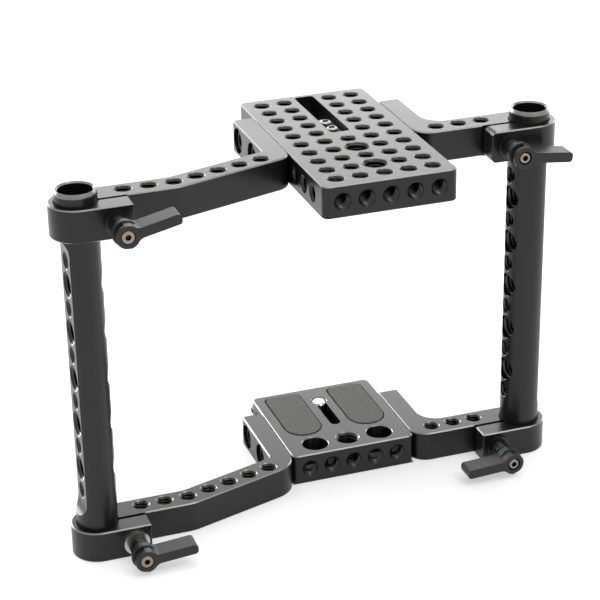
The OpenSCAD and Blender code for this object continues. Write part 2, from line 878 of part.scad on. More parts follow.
// Front view of a lever: round hub, straight arm, a fillet on each side of the joint
function lever_outline(inset = 0) =
    let (
        hub = lever_hub_r - inset,
        fillet = lever_fillet_r + inset,
        half_h = lever_arm_h / 2 - inset,
        tip = lever_tip_r - inset,
        fillet_x = sqrt(pow(hub + fillet, 2) - pow(half_h + fillet, 2)),
        join = atan2(half_h + fillet, fillet_x),
        tip_x = lever_l - lever_tip_r,
        tip_y = lever_arm_h / 2 - lever_tip_r
    )
    concat(
        arc([0, 0], hub, join, 360 - 2 * join),
        arc([fillet_x, -half_h - fillet], fillet, 180 - join, join - 90),
        arc([tip_x, -tip_y], tip, -90, 90),
        arc([tip_x, tip_y], tip, 0, 90),
        arc([fillet_x, half_h + fillet], fillet, 270, join - 90)
    );

// Groove round the hub behind its front, which stops at the arm
module hub_groove() {
    wide = 2 * lever_hub_r;
    difference() {
        rotate_extrude($fn = round_fn)
            polygon([[hub_groove_r, 0], [wide, 0], [wide, hub_groove_l],
                     [hub_groove_r, hub_groove_l]]);
        translate([hub_groove_end, -wide, -overrun])
            cube([wide, 2 * wide, hub_groove_l + 2 * overrun]);
    }
}

module lever(angle) {
    slab_rear = lever_front - lever_depth;
    color(lever_grey)
        rotate([0, 0, angle])
            difference() {
                union() {
                    translate([0, 0, slab_rear])
                        chamfered_slab(lever_outline(), lever_outline(lever_chamfer),
                                       lever_depth, lever_chamfer);
                    translate([0, 0, lever_rear])
                        cylinder(r = collar_r, h = collar_l, $fn = round_fn);
                }
                translate([0, 0, lever_rear + collar_l])
                    hub_groove();
                translate([0, 0, lever_rear - overrun])
                    cylinder(r = drum_r + sliding_gap, h = spring_seat - lever_rear + overrun,
                             $fn = drum_sides);
                translate([0, 0, lever_rear])
                    cylinder(r = lever_screw_shank_r + running_gap, h = lever_depth,
                             $fn = round_fn);
                translate([0, 0, spring_seat + web_t])
                    cylinder(r = lever_recess_r, h = lever_front, $fn = round_fn);
            }
}

module lever_screw(screw_r) {
    top = lever_front - sliding_gap;
    bottom = drum_front - lever_pull;
    color(copper_steel)
        translate([0, 0, top])
            socket_bolt(screw_r, lever_screw_head_h, lever_screw_shank_r - running_gap / 2,
                        top - lever_screw_head_h - bottom, lever_screw_socket_af,
                        lever_socket_depth_share);
}

// Coil under the lever screw's head, as one unbroken tube swept along a helix
module lever_spring() {
    wire_r = spring_wire / 2;
    coil_r = lever_screw_shank_r + spring_gap + wire_r;
    low = spring_seat + web_t + wire_r + spring_gap;
    high = lever_front - sliding_gap - lever_screw_head_h - wire_r - spring_gap;
    count = spring_turns * spring_steps;
    points = [for (i = [0:count]) for (j = [0:spring_sides - 1])
        let (a = 360 * i / spring_steps, b = 360 * j / spring_sides,
             r = coil_r + wire_r * cos(b))
        [r * cos(a), r * sin(a), low + (high - low) * i / count + wire_r * sin(b)]];
    sides = [for (i = [0:count - 1]) for (j = [0:spring_sides - 1])
        let (k = (j + 1) % spring_sides, a = i * spring_sides, b = a + spring_sides)
        each [[a + j, a + k, b + k], [a + j, b + k, b + j]]];
    ends = [[for (j = [0:spring_sides - 1]) spring_sides - 1 - j],
            [for (j = [0:spring_sides - 1]) count * spring_sides + j]];
    color(bare_steel)
        polyhedron(points = points, faces = concat(sides, ends));
}

module top_left_washer() { at_jaw(top_left) clamp_washer(); }
module top_right_washer() { at_jaw(top_right) clamp_washer(); }
module bottom_left_washer() { at_jaw(bottom_left) clamp_washer(); }
module bottom_right_washer() { at_jaw(bottom_right) clamp_washer(); }

module top_left_clamp_screw() {
    at_jaw(top_left) clamp_screw(top_left_stand, left_thread_l);
}
module top_right_clamp_screw() {
    at_jaw(top_right) clamp_screw(top_right_stand, right_thread_l);
}
module bottom_left_clamp_screw() {
    at_jaw(bottom_left) clamp_screw(bottom_left_stand, left_thread_l);
}
module bottom_right_clamp_screw() {
    at_jaw(bottom_right) clamp_screw(bottom_right_stand, right_thread_l);
}

module top_left_lever() { at_lever(top_left) lever(top_left_lever_angle); }
module top_right_lever() { at_lever(top_right) lever(top_right_lever_angle); }
module bottom_left_lever() { at_lever(bottom_left) lever(bottom_left_lever_angle); }
module bottom_right_lever() { at_lever(bottom_right) lever(bottom_right_lever_angle); }

module top_left_lever_spring() { at_lever(top_left) lever_spring(); }
module top_right_lever_spring() { at_lever(top_right) lever_spring(); }
module bottom_left_lever_spring() { at_lever(bottom_left) lever_spring(); }
module bottom_right_lever_spring() { at_lever(bottom_right) lever_spring(); }

module top_left_lever_screw() { at_lever(top_left) lever_screw(left_lever_screw_r); }
module top_right_lever_screw() { at_lever(top_right) lever_screw(right_lever_screw_r); }
module bottom_left_lever_screw() { at_lever(bottom_left) lever_screw(left_lever_screw_r); }
module bottom_right_lever_screw() { at_lever(bottom_right) lever_screw(right_lever_screw_r); }

// Captive camera screw, resting low in the entry hole of the deck's slot

module camera_screw() {
    end_z = frame_t - screw_top_gap;
    thread_z = end_z - screw_thread_l;
    chamfer = screw_thread_r - screw_end_r;
    head_z = screw_rest_z + screw_head_h;
    color(bare_steel)
        translate([0, deck_entry_y, 0])
            difference() {
                rotate_extrude($fn = round_fn)
                    polygon([[0, screw_rest_z], [screw_head_r, screw_rest_z],
                             [screw_head_r, head_z], [screw_neck_r, head_z],
                             [screw_neck_r, thread_z], [screw_thread_r, thread_z],
                             [screw_thread_r, end_z - chamfer], [screw_end_r, end_z],
                             [0, end_z]]);
                translate([-screw_head_r - overrun, -screw_coin_w / 2,
                           screw_rest_z - overrun])
                    cube([2 * (screw_head_r + overrun), screw_coin_w,
                          screw_coin_depth + overrun]);
            }
}

module camera_screw_washer() {
    color(lever_grey)
        translate([0, deck_entry_y, screw_rest_z + screw_head_h + sliding_gap])
            difference() {
                cylinder(r = screw_head_r, h = screw_washer_t, $fn = round_fn);
                translate([0, 0, -overrun])
                    cylinder(r = screw_neck_r + running_gap, h = screw_washer_t + 2 * overrun,
                             $fn = round_fn);
            }
}

// Shoe carriage: a bar in the slot and a foot below it, drawn together by two screws

module in_carriage(z) {
    translate([0, top_slot_front + bar_front_gap, top_z + z]) children();
}

module shoe_screw_places() {
    for (i = [0, 1])
        translate([shoe_screw_x, shoe_screw_inset + i * shoe_screw_spacing, 0]) children();
}

module shoe_clamp_bar() {
    half_w = top_slot_w / 2 - sliding_gap;
    h = frame_t - ledge_t - bar_top_sink - sliding_gap;
    corners = [[[-half_w, 0], slot_corner_r], [[half_w, 0], slot_corner_r],
               [[half_w, carriage_l], bar_round_r], [[-half_w, carriage_l], bar_round_r]];
    color(black)
        in_carriage(ledge_t + sliding_gap)
            difference() {
                chamfered_slab(outline(corners), outline(corners, edge_chamfer), h,
                               edge_chamfer);
                shoe_screw_places()
                    translate([0, 0, -overrun])
                        cylinder(r = shoe_screw_r + running_gap, h = h + 2 * overrun,
                                 $fn = round_fn);
            }
}

module shoe_foot() {
    stem_w = ledge_gap_w - 2 * sliding_gap;
    nut_z = -foot_nut_t - sliding_gap;
    neck_z = nut_z - foot_neck_t;
    middle = carriage_l / 2;
    color(black)
        in_carriage(0)
            difference() {
                union() {
                    translate([-stem_w / 2, slot_corner_r, nut_z])
                        cube([stem_w, carriage_l - 2 * slot_corner_r, ledge_t - nut_z]);
                    translate([-foot_nut_w / 2, 0, nut_z])
                        cube([foot_nut_w, carriage_l, foot_nut_t]);
                    translate([-foot_neck_w / 2, middle - foot_shoe_l / 2, neck_z])
                        cube([foot_neck_w, foot_shoe_l, foot_neck_t + foot_nut_t / 2]);
                    translate([0, 0, neck_z - foot_shoe_t])
                        linear_extrude(foot_shoe_t)
                            polygon(outline(rectangle(-foot_shoe_w / 2, foot_shoe_w / 2,
                                                      middle - foot_shoe_l / 2,
                                                      middle + foot_shoe_l / 2,
                                                      foot_shoe_t / 2)));
                }
                shoe_screw_places()
                    translate([0, 0, nut_z])
                        cylinder(r = shoe_screw_r, h = foot_nut_t + frame_t, $fn = round_fn);
            }
}

module shoe_screws() {
    top = frame_t + shoe_screw_stand;
    seat = frame_t - bar_top_sink;
    color(bare_steel)
        in_carriage(0)
            shoe_screw_places()
                translate([0, 0, top])
                    socket_bolt(shoe_screw_head_r, top - seat, shoe_screw_r,
                                seat + foot_nut_t, shoe_screw_socket_af);
}

bottom_plate();
bottom_left_arm();
bottom_right_arm();
bottom_arm_bolts();
left_pad();
right_pad();
rear_cap_screw();
camera_screw();
camera_screw_washer();
top_plate();
top_left_arm();
top_right_arm();
top_arm_bolts();
shoe_clamp_bar();
shoe_foot();
shoe_screws();
left_tube();
right_tube();
top_left_washer();
top_right_washer();
bottom_left_washer();
bottom_right_washer();
top_left_clamp_screw();
top_right_clamp_screw();
bottom_left_clamp_screw();
bottom_right_clamp_screw();
top_left_lever();
top_right_lever();
bottom_left_lever();
bottom_right_lever();
top_left_lever_spring();
top_right_lever_spring();
bottom_left_lever_spring();
bottom_right_lever_spring();
top_left_lever_screw();
top_right_lever_screw();
bottom_left_lever_screw();
bottom_right_lever_screw();
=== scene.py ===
"""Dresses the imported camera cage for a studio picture: black anodised plates, arms and tubes
with cut threads in their tapped holes, clamp levers, grip pads and bare steel screws.

Sizes are in metres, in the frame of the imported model: +Z up, +Y to the rear and +X to the
right seen from the front. The origin lies in the bottom plate's underside, on the axis of
its tripod hole.
"""

import json
import math

import bmesh
import bpy
from mathutils import Matrix, Vector


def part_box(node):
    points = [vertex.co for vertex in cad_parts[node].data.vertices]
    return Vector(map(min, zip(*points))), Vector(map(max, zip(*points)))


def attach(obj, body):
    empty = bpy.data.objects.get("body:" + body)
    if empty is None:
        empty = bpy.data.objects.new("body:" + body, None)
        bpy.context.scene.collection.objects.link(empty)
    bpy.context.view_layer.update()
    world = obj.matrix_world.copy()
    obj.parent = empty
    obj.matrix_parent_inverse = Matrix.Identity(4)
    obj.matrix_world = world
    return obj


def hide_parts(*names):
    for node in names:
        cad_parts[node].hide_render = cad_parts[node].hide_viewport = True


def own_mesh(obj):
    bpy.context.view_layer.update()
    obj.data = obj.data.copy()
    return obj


bl_info = {
    "name": "Camera Cage Dressing",
    "version": (1, 0, 0),
    "blender": (4, 5, 0),
    "location": "View3D > Sidebar > Cage",
    "description": "Builds the looks of a camera cage round its packed model",
    "category": "Object",
}

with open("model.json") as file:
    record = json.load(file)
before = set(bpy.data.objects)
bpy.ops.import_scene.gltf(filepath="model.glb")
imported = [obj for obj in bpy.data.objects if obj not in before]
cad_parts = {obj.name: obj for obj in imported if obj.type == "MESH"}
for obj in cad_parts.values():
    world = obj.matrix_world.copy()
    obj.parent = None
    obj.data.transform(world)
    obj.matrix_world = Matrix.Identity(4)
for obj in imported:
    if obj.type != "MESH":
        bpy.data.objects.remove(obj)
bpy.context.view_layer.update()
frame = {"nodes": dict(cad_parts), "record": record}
NODES = frame["nodes"]

CLAMPS = ("top_left", "top_right", "bottom_left", "bottom_right")

# Tapped holes: columns and rows of the plates, then the holes of the arms and tubes
COLUMNS = range(-2, 3)
ROWS = 10
CENTRE_ROWS = 5
LARGE_ROWS = (1, 3)
SIDE_HOLES = 3
ARM_HOLES = 3
SLANTED_HOLES = 4
TUBE_HOLES = 11

# Edges up to these angles are shaded smooth
SOFT_EDGE = math.radians(31)
DRUM_EDGE = math.radians(24)
THREAD_EDGE = math.radians(50)
COIL_EDGE = math.radians(70)

# Corners up to these distances are made one
WELD = 1e-7
SEAM = 1e-8

# Chamfers lie within this distance of the top or the bottom of a piece, and get a painted
# highlight
EDGE_BAND = 0.0016

# A screw's socket, whose faces get painted shade, lies deeper than the rim, with its floor inside
# the radius
SOCKET_RIM = 0.00005
SOCKET_RADIUS = 0.001

# Each lamp's name, place, width and height
LAMPS = (
    ("rear", (0.5, 1.5, 0.64), 1.6, 0.35),
    ("left", (-0.62, 1.3, 0.2), 0.9, 0.34),
    ("right", (1.3, 0.65, 0.35), 0.5, 0.8),
    ("front", (0.45, -0.75, 1.2), 0.5, 0.4),
    ("top", (-0.1, 0.1, 1.5), 1.0, 1.0),
)
LAMP_AIM = Vector((0.0, 0.0, 0.06))
SENSOR_WIDTH = 36.0


# Sizes and colours


class CageFinishes(bpy.types.PropertyGroup):
    """Colours and roughness of the cage's finishes"""

    anodised: bpy.props.FloatVectorProperty(
        name="Anodising", description="Colour of the anodised plates, arms and tubes",
        subtype="COLOR", size=3, min=0, max=1, default=(0.006, 0.006, 0.0062),
    )
    anodised_roughness: bpy.props.FloatProperty(
        name="Anodising roughness", description="Roughness of the anodised surfaces",
        subtype="FACTOR", min=0, max=1, default=0.3,
    )
    # Painted highlight: a lighter colour on the chamfers, for the bright lines along the edges
    edge: bpy.props.FloatVectorProperty(
        name="Painted edge highlights", description="Colour of the chamfers, which shine through the black",
        subtype="COLOR", size=3, min=0, max=1, default=(0.22, 0.217, 0.212),
    )
    lever: bpy.props.FloatVectorProperty(
        name="Lever", description="Colour of the painted levers",
        subtype="COLOR", size=3, min=0, max=1, default=(0.012, 0.012, 0.012),
    )
    thread: bpy.props.FloatVectorProperty(
        name="Threads", description="Colour of the cut threads under their thin black",
        subtype="COLOR", size=3, min=0, max=1, default=(0.05, 0.0495, 0.0485),
    )
    steel: bpy.props.FloatVectorProperty(
        name="Bare steel", description="Colour of the bare steel screws",
        subtype="COLOR", size=3, min=0, max=1, default=(0.68, 0.67, 0.65),
    )
    warm_steel: bpy.props.FloatVectorProperty(
        name="Warm steel", description="Colour of the levers' screws",
        subtype="COLOR", size=3, min=0, max=1, default=(0.31, 0.235, 0.19),
    )
    shoe_steel: bpy.props.FloatVectorProperty(
        name="Shoe steel", description="Colour of the shoe's screws",
        subtype="COLOR", size=3, min=0, max=1, default=(0.42, 0.38, 0.36),
    )
    dark_steel: bpy.props.FloatVectorProperty(
        name="Dark steel", description="Colour of the blackened bolts and clamp screws",
        subtype="COLOR", size=3, min=0, max=1, default=(0.05, 0.05, 0.052),
    )
    rubber: bpy.props.FloatVectorProperty(
        name="Grip rubber", description="Colour of the grip pads",
        subtype="COLOR", size=3, min=0, max=1, default=(0.075, 0.075, 0.072),
    )
    floor: bpy.props.FloatVectorProperty(
        name="Floor", description="Colour of the studio floor",
        subtype="COLOR", size=3, min=0, max=1, default=(0.95, 0.95, 0.95),
    )


class CageThreads(bpy.types.PropertyGroup):
    """Sizes of the cut threads and the places of the tapped holes"""

    hole_pitch: bpy.props.FloatProperty(
        name="Hole pitch", description="Spacing of the accessory holes",
        unit="LENGTH", default=0.009525,
    )
    small_radius: bpy.props.FloatProperty(
        name="Small hole", description="Radius of the small tapped holes",
        unit="LENGTH", default=0.003175,
    )
    large_radius: bpy.props.FloatProperty(
        name="Large hole", description="Radius of the large tapped holes",
        unit="LENGTH", default=0.0047625,
    )
    small_lead: bpy.props.FloatProperty(
        name="Small lead", description="Distance between the turns of the small thread",
        unit="LENGTH", default=0.00127,
    )
    large_lead: bpy.props.FloatProperty(
        name="Large lead", description="Distance between the turns of the large thread",
        unit="LENGTH", default=0.0015875,
    )
    depth_share: bpy.props.FloatProperty(
        name="Thread depth", description="Depth of a thread as a share of its lead",
        subtype="FACTOR", min=0.2, max=0.6, default=0.46,
    )
    wall_gap: bpy.props.FloatProperty(
        name="Wall gap", description="Gap between a cut thread and the wall of its hole",
        unit="LENGTH", default=0.00001,
    )
    mouth: bpy.props.FloatProperty(
        name="Mouth", description="From the face of a piece to the first turn",
        unit="LENGTH", default=0.0004,
    )
    plate: bpy.props.FloatProperty(
        name="Plate", description="Thickness of the plates and arms",
        unit="LENGTH", default=0.0127,
    )
    first_row: bpy.props.FloatProperty(
        name="First row", description="From the top plate's front to its first row of holes",
        unit="LENGTH", default=0.0074,
    )
    deck_front_depth: bpy.props.FloatProperty(
        name="Deck front depth", description="Threaded depth of the bottom plate's front holes",
        unit="LENGTH", default=0.0029,
    )
    deck_side_depth: bpy.props.FloatProperty(
        name="Deck side depth", description="Threaded depth of the bottom plate's side holes",
        unit="LENGTH", default=0.007,
    )
    deck_side_y: bpy.props.FloatProperty(
        name="Deck side place", description="From the tripod hole back to the side holes",
        unit="LENGTH", default=0.0386,
    )
    ring_radius: bpy.props.FloatProperty(
        name="Ring", description="Outer radius of the arms' split rings",
        unit="LENGTH", default=0.0103175,
    )
    arm_row_inset: bpy.props.FloatProperty(
        name="Arm row", description="From the rear of a ring forward to its arm's row of holes",
        unit="LENGTH", default=0.005,
    )
    left_bend: bpy.props.FloatProperty(
        name="Left bend", description="From the middle to the bend in the left arms' rows",
        unit="LENGTH", default=0.0749,
    )
    slant: bpy.props.FloatProperty(
        name="Slant", description="Angle of the left arms' rows beyond their bend",
        subtype="ANGLE", default=math.radians(15.5),
    )
    right_hole: bpy.props.FloatProperty(
        name="Right hole", description="From the middle to the right arms' first hole",
        unit="LENGTH", default=0.0364,
    )
    tube_flat: bpy.props.FloatProperty(
        name="Tube flat", description="From a tube's axis to its milled flat",
        unit="LENGTH", default=0.0053,
    )
    small_reach: bpy.props.FloatProperty(
        name="Small reach", description="How far a small thread runs past a tube's axis",
        unit="LENGTH", default=0.007,
    )
    large_reach: bpy.props.FloatProperty(
        name="Large reach", description="How far a large thread runs past a tube's axis",
        unit="LENGTH", default=0.0057,
    )
    left_tube_turn: bpy.props.FloatProperty(
        name="Left tube turn", description="Direction in which the left tube's flat looks",
        subtype="ANGLE", default=math.radians(182.5),
    )
    right_tube_turn: bpy.props.FloatProperty(
        name="Right tube turn", description="Direction in which the right tube's flat looks",
        subtype="ANGLE", default=math.radians(4.5),
    )
    round_end: bpy.props.FloatProperty(
        name="Round end", description="Height up to which the tubes are round all the way",
        unit="LENGTH", default=0.012,
    )


class CageLevers(bpy.types.PropertyGroup):
    """Sizes of a clamp lever, measured back from its front face"""

    hub: bpy.props.FloatProperty(
        name="Hub", description="Radius of the lever's hub", unit="LENGTH", default=0.0044,
    )
    length: bpy.props.FloatProperty(
        name="Length", description="From the lever's screw to its tip",
        unit="LENGTH", default=0.0202,
    )
    half_height: bpy.props.FloatProperty(
        name="Half height", description="Half the height of the arm",
        unit="LENGTH", default=0.002,
    )
    depth: bpy.props.FloatProperty(
        name="Depth", description="Depth of the arm", unit="LENGTH", default=0.0078,
    )
    fillet: bpy.props.FloatProperty(
        name="Fillet", description="Radius between the hub and the arm",
        unit="LENGTH", default=0.0034,
    )
    tip: bpy.props.FloatProperty(
        name="Tip", description="Radius of the tip's corners", unit="LENGTH", default=0.0014,
    )
    chamfer: bpy.props.FloatProperty(
        name="Chamfer", description="Chamfer round the lever's faces",
        unit="LENGTH", default=0.00035,
    )
    arm_sector: bpy.props.FloatProperty(
        name="Arm sector", description="Half the angle of the hub that the arm covers",
        subtype="ANGLE", default=math.radians(92),
    )
    disc: bpy.props.FloatProperty(
        name="Disc", description="Thickness of the toothed disc at the front of the hub",
        unit="LENGTH", default=0.00135,
    )
    groove: bpy.props.FloatProperty(
        name="Groove", description="Radius of the groove behind the disc",
        unit="LENGTH", default=0.0036,
    )
    teeth: bpy.props.IntProperty(
        name="Teeth", description="Number of teeth round the whole disc", default=46,
    )
    tooth: bpy.props.FloatProperty(
        name="Tooth", description="Half the width of a tooth", unit="LENGTH", default=0.00032,
    )
    overlap: bpy.props.FloatProperty(
        name="Overlap", description="How far the arm stands proud of the disc that it joins",
        unit="LENGTH", default=0.00002,
    )
    pull: bpy.props.FloatProperty(
        name="Pull", description="How far a lever comes forward and squeezes its spring",
        unit="LENGTH", default=0.0024,
    )


class CageStage(bpy.types.PropertyGroup):
    """The camera, the floor and the lamps"""

    camera_place: bpy.props.FloatVectorProperty(
        name="Camera", description="Place of the camera",
        subtype="TRANSLATION", size=3, default=(-0.24768, -0.66629, 0.40532),
    )
    heading: bpy.props.FloatProperty(
        name="Heading", description="Turn of the camera about the upright axis",
        subtype="ANGLE", default=math.radians(-18.89921),
    )
    tilt: bpy.props.FloatProperty(
        name="Tilt", description="Angle by which the camera looks down",
        subtype="ANGLE", default=math.radians(24.89020),
    )
    roll: bpy.props.FloatProperty(
        name="Roll", description="Turn of the camera about its own line of sight",
        subtype="ANGLE", default=math.radians(-1.00759),
    )
    lens: bpy.props.FloatProperty(
        name="Lens", description="Focal length in millimetres, for a sensor 36 mm wide",
        min=20, max=400, default=117.636,
    )
    floor_size: bpy.props.FloatProperty(
        name="Floor", description="Half the side of the studio floor",
        unit="LENGTH", default=6.0,
    )
    floor_drop: bpy.props.FloatProperty(
        name="Floor drop", description="Hair's breadth between the cage and the floor",
        unit="LENGTH", default=0.00005,
    )
    floor_glow: bpy.props.FloatProperty(
        name="Floor glow", description="Light that the floor adds where the camera sees it",
        min=0, max=1, default=0.42,
    )
    # Painted shadow: the floor under the bottom plate is darker and has no glow; it shows only
    # through holes
    under_deck_painted_shadow: bpy.props.FloatProperty(
        name="Under the deck", description="Shade of the floor below the bottom plate",
        subtype="FACTOR", min=0, max=1, default=0.35,
    )
    room_light: bpy.props.FloatProperty(
        name="Room", description="Light of the white room on matt surfaces",
        min=0, max=2, default=0.5,
    )
    rear_light: bpy.props.FloatProperty(
        name="Rear lamp", description="Power of the broad lamp behind the cage, in watts",
        min=0, max=200, default=9,
    )
    left_light: bpy.props.FloatProperty(
        name="Left lamp", description="Power of the low lamp behind on the left, in watts",
        min=0, max=200, default=16,
    )
    right_light: bpy.props.FloatProperty(
        name="Right lamp", description="Power of the lamp behind on the right, in watts",
        min=0, max=200, default=5,
    )
    front_light: bpy.props.FloatProperty(
        name="Front lamp", description="Power of the small lamp above the front, in watts",
        min=0, max=200, default=3,
    )
    top_light: bpy.props.FloatProperty(
        name="Top lamp", description="Power of the broad lamp overhead, in watts",
        min=0, max=200, default=5,
    )


# Shader maths and nodes


class Wire:
    """A shader socket that can be added, subtracted and multiplied like a number."""

    def __init__(self, tree, socket):
        self.tree = tree
        self.socket = socket

    def _math(self, operation, *values):
        node = self.tree.nodes.new("ShaderNodeMath")
        node.operation = operation
        for slot, value in zip(node.inputs, values):
            if isinstance(value, Wire):
                self.tree.links.new(value.socket, slot)
            else:
                slot.default_value = value
        return Wire(self.tree, node.outputs[0])

    def __add__(self, other):
        return self._math("ADD", self, other)

    __radd__ = __add__

    def __sub__(self, other):
        return self._math("SUBTRACT", self, other)

    def __rsub__(self, other):
        return self._math("SUBTRACT", other, self)

    def __mul__(self, other):
        return self._math("MULTIPLY", self, other)

    __rmul__ = __mul__

    def sine(self):
        return self._math("SINE", self)

    def clamped(self):
        return self._math("MINIMUM", self._math("MAXIMUM", self, 0.0), 1.0)


class Recipe:
    """The nodes of a material or of a room, with one method that adds them all."""

    def __init__(self, owner):
        owner.use_nodes = True
        self.owner = owner
        self.tree = owner.node_tree
        self.tree.nodes.clear()

    def add(self, kind, settings=None, values=None, output=0):
        """Adds a node, sets it, then fills its sockets with values or links."""
        node = self.tree.nodes.new("ShaderNode" + kind)
        for key, value in (settings or {}).items():
            setattr(node, key, value)
        for key, value in (values or {}).items():
            slot = node.inputs[key]
            if isinstance(value, Wire):
                self.tree.links.new(value.socket, slot)
            else:
                slot.default_value = value
        return Wire(self.tree, node.outputs[output]) if node.outputs else None

    def object_place(self):
        return self.add("TexCoord", output="Object")

    def noise(self, scale, detail):
        return self.add("TexNoise", values={
            "Vector": self.object_place(), "Scale": scale, "Detail": detail, "Roughness": 0.55,
        })

    def seen_or_reflected(self):
        """1 for what the camera sees, also by way of gloss and glass, and 0 elsewhere."""
        rays = [self.add("LightPath", output=kind)
                for kind in ("Is Camera Ray", "Is Glossy Ray", "Is Transmission Ray")]
        return (rays[0] + rays[1] + rays[2]).clamped()

    def tint(self, factor, first, second):
        """Blends two colours by a factor."""
        return self.add(
            "Mix", {"data_type": "RGBA"},
            {"Factor": factor, "A": (*first, 1.0), "B": (*second, 1.0)}, output="Result",
        )

    def clouded(self, factor, colour, darkest, lightest):
        """Spreads a colour from a darker to a lighter shade of it."""
        return self.tint(factor, shade(colour, darkest), shade(colour, lightest))

    def bumped(self, height, strength, distance):
        return self.add("Bump", values={
            "Strength": strength, "Distance": distance, "Height": height,
        })

    def shine(self, **values):
        """Ends a material in a Principled surface."""
        shader = self.add("BsdfPrincipled", values=values)
        self.add("OutputMaterial", values={"Surface": shader})


def new_finish(name):
    """A material without nodes yet."""
    return Recipe(bpy.data.materials.new(name))


def shade(colour, share):
    return tuple(part * share for part in colour)


def anodised_finish(name, colour, roughness):
    """Bead-blasted black anodising: a fine grain, with slight clouds of tone and sheen."""
    finish = new_finish(name)
    clouds = finish.noise(scale=38.0, detail=2.0)
    grain = finish.noise(scale=5200.0, detail=2.0)
    finish.shine(**{
        "Base Color": finish.clouded(clouds, colour, darkest=0.8, lightest=1.25),
        "Roughness": roughness - 0.05 + clouds * 0.06 + grain * 0.05,
        "Specular IOR Level": 0.38,
        "Normal": finish.bumped(grain, strength=0.18, distance=0.00003),
    })


def painted_finish(name, colour):
    """Satin paint on the cast levers, with a soft orange-peel surface."""
    finish = new_finish(name)
    peel = finish.noise(scale=900.0, detail=3.0)
    clouds = finish.noise(scale=120.0, detail=2.0)
    finish.shine(**{
        "Base Color": finish.clouded(clouds, colour, darkest=0.85, lightest=1.2),
        "Roughness": 0.4 + peel * 0.08,
        "Specular IOR Level": 0.4,
        "Normal": finish.bumped(peel, strength=0.22, distance=0.00004),
    })


def turned_steel_finish(name, colour, roughness=0.24):
    """Steel with fine wear in its sheen and faint spots in its tone."""
    finish = new_finish(name)
    spots = finish.noise(scale=700.0, detail=4.0)
    squeezed = finish.add("Mapping", values={
        "Vector": finish.object_place(), "Scale": (1.0, 1.0, 14.0),
    })
    scratches = finish.add("TexNoise", values={
        "Vector": squeezed, "Scale": 1500.0, "Detail": 2.0,
    })
    finish.shine(**{
        "Base Color": finish.clouded(spots, colour, darkest=0.85, lightest=1.08),
        "Metallic": 1.0,
        "Roughness": roughness - 0.04 + spots * 0.12,
        "Normal": finish.bumped(scratches, strength=0.12, distance=0.00002),
    })


def grip_finish(name, colour):
    """Rubber with fine ribs that cross at a slant."""
    finish = new_finish(name)
    place = {"Vector": finish.object_place()}
    across = finish.add("SeparateXYZ", values=place, output="X")
    along = finish.add("SeparateXYZ", values=place, output="Y")
    rib_pitch, slant = 0.0014, 0.62
    waves = 2 * math.pi / rib_pitch
    first = ((across + along * slant) * waves).sine()
    second = ((across - along * slant) * waves).sine()
    weave = (first * second * 0.5 + 0.5).clamped()
    dust = finish.noise(scale=160.0, detail=3.0)
    # The colour follows the weave, darker where it is low and lighter where it is raised, with
    # random dust
    wear = (weave * 0.75 + dust * 0.25).clamped()
    finish.shine(**{
        "Base Color": finish.clouded(wear, colour, darkest=0.4, lightest=2.0),
        "Roughness": 0.72 - weave * 0.14,
        "Normal": finish.bumped(weave, strength=0.9, distance=0.0003),
    })


def finishes():
    """The cage's materials, made once and found by name after that."""
    group = bpy.context.scene.cage_finishes
    if "black_anodised_finish" not in bpy.data.materials:
        anodised_finish("black_anodised_finish", group.anodised, group.anodised_roughness)
        turned_steel_finish("cut_thread_finish", group.thread, roughness=0.26)
        # Painted highlight on the chamfers
        turned_steel_finish("cut_edge_finish", group.edge, roughness=0.34)
        painted_finish("lever_paint", group.lever)
        turned_steel_finish("bare_steel_finish", group.steel)
        turned_steel_finish("warm_steel_finish", group.warm_steel, roughness=0.34)
        turned_steel_finish("shoe_steel_finish", group.shoe_steel, roughness=0.34)
        turned_steel_finish("dark_steel_finish", group.dark_steel, roughness=0.36)
        # Painted shade: darker steel for the insides of screw sockets, where shade falls
        turned_steel_finish("socket_finish", shade(group.dark_steel, 0.4), roughness=0.3)
        grip_finish("grip_rubber_finish", group.rubber)
    return bpy.data.materials


# Meshes


def body_of(node):
    """The moving body that a CAD node belongs to."""
    return next(b for b, members in frame["record"]["behaviour"]["bodies"].items()
                if node in members)


def slot_of(node):
    """The material slot that the record gives a CAD node."""
    return next(s["material_slot"] for s in frame["record"]["subparts"] if s["node"] == node)


def smooth_by_angle(bm, limit):
    """Rounds the shading of gentle edges and keeps it crisp on steep ones."""
    for face in bm.faces:
        face.smooth = True
    for edge in bm.edges:
        edge.smooth = len(edge.link_faces) == 2 and edge.calc_face_angle(0.0) < limit


def new_piece(bm, name, body, slot, material):
    """Turns a bmesh into an object that rides on a body."""
    mesh = bpy.data.meshes.new(name)
    bm.to_mesh(mesh)
    bm.free()
    piece = bpy.data.objects.new(name, mesh)
    bpy.context.scene.collection.objects.link(piece)
    mesh.materials.append(finishes()[material])
    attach(piece, body)
    return piece


def solids_of(bm):
    """The faces of each separate solid in a mesh."""
    left = set(bm.faces)
    while left:
        found, to_visit = set(), [left.pop()]
        while to_visit:
            face = to_visit.pop()
            found.add(face)
            near = {f for e in face.edges for f in e.link_faces} & left
            left -= near
            to_visit += near
        yield found


def socket_faces(bm, axis, radius):
    """Faces in the sockets of screws that lie along an axis: inward walls and floors, which get
    painted shade.
    """
    for solid in solids_of(bm):
        places = [v.co for face in solid for v in face.verts]
        low = [min(p[i] for p in places) for i in range(3)]
        high = [max(p[i] for p in places) for i in range(3)]
        middle = (Vector(low) + Vector(high)) / 2
        for face in solid:
            centre = face.calc_center_median()
            reach = centre - middle
            reach[axis] = 0
            ends = min(centre[axis] - low[axis], high[axis] - centre[axis])
            inward = face.normal.dot(reach) < -0.5 * reach.length
            floor = abs(face.normal[axis]) > 0.9 and reach.length < radius
            if ends > SOCKET_RIM and (inward or floor):
                yield face


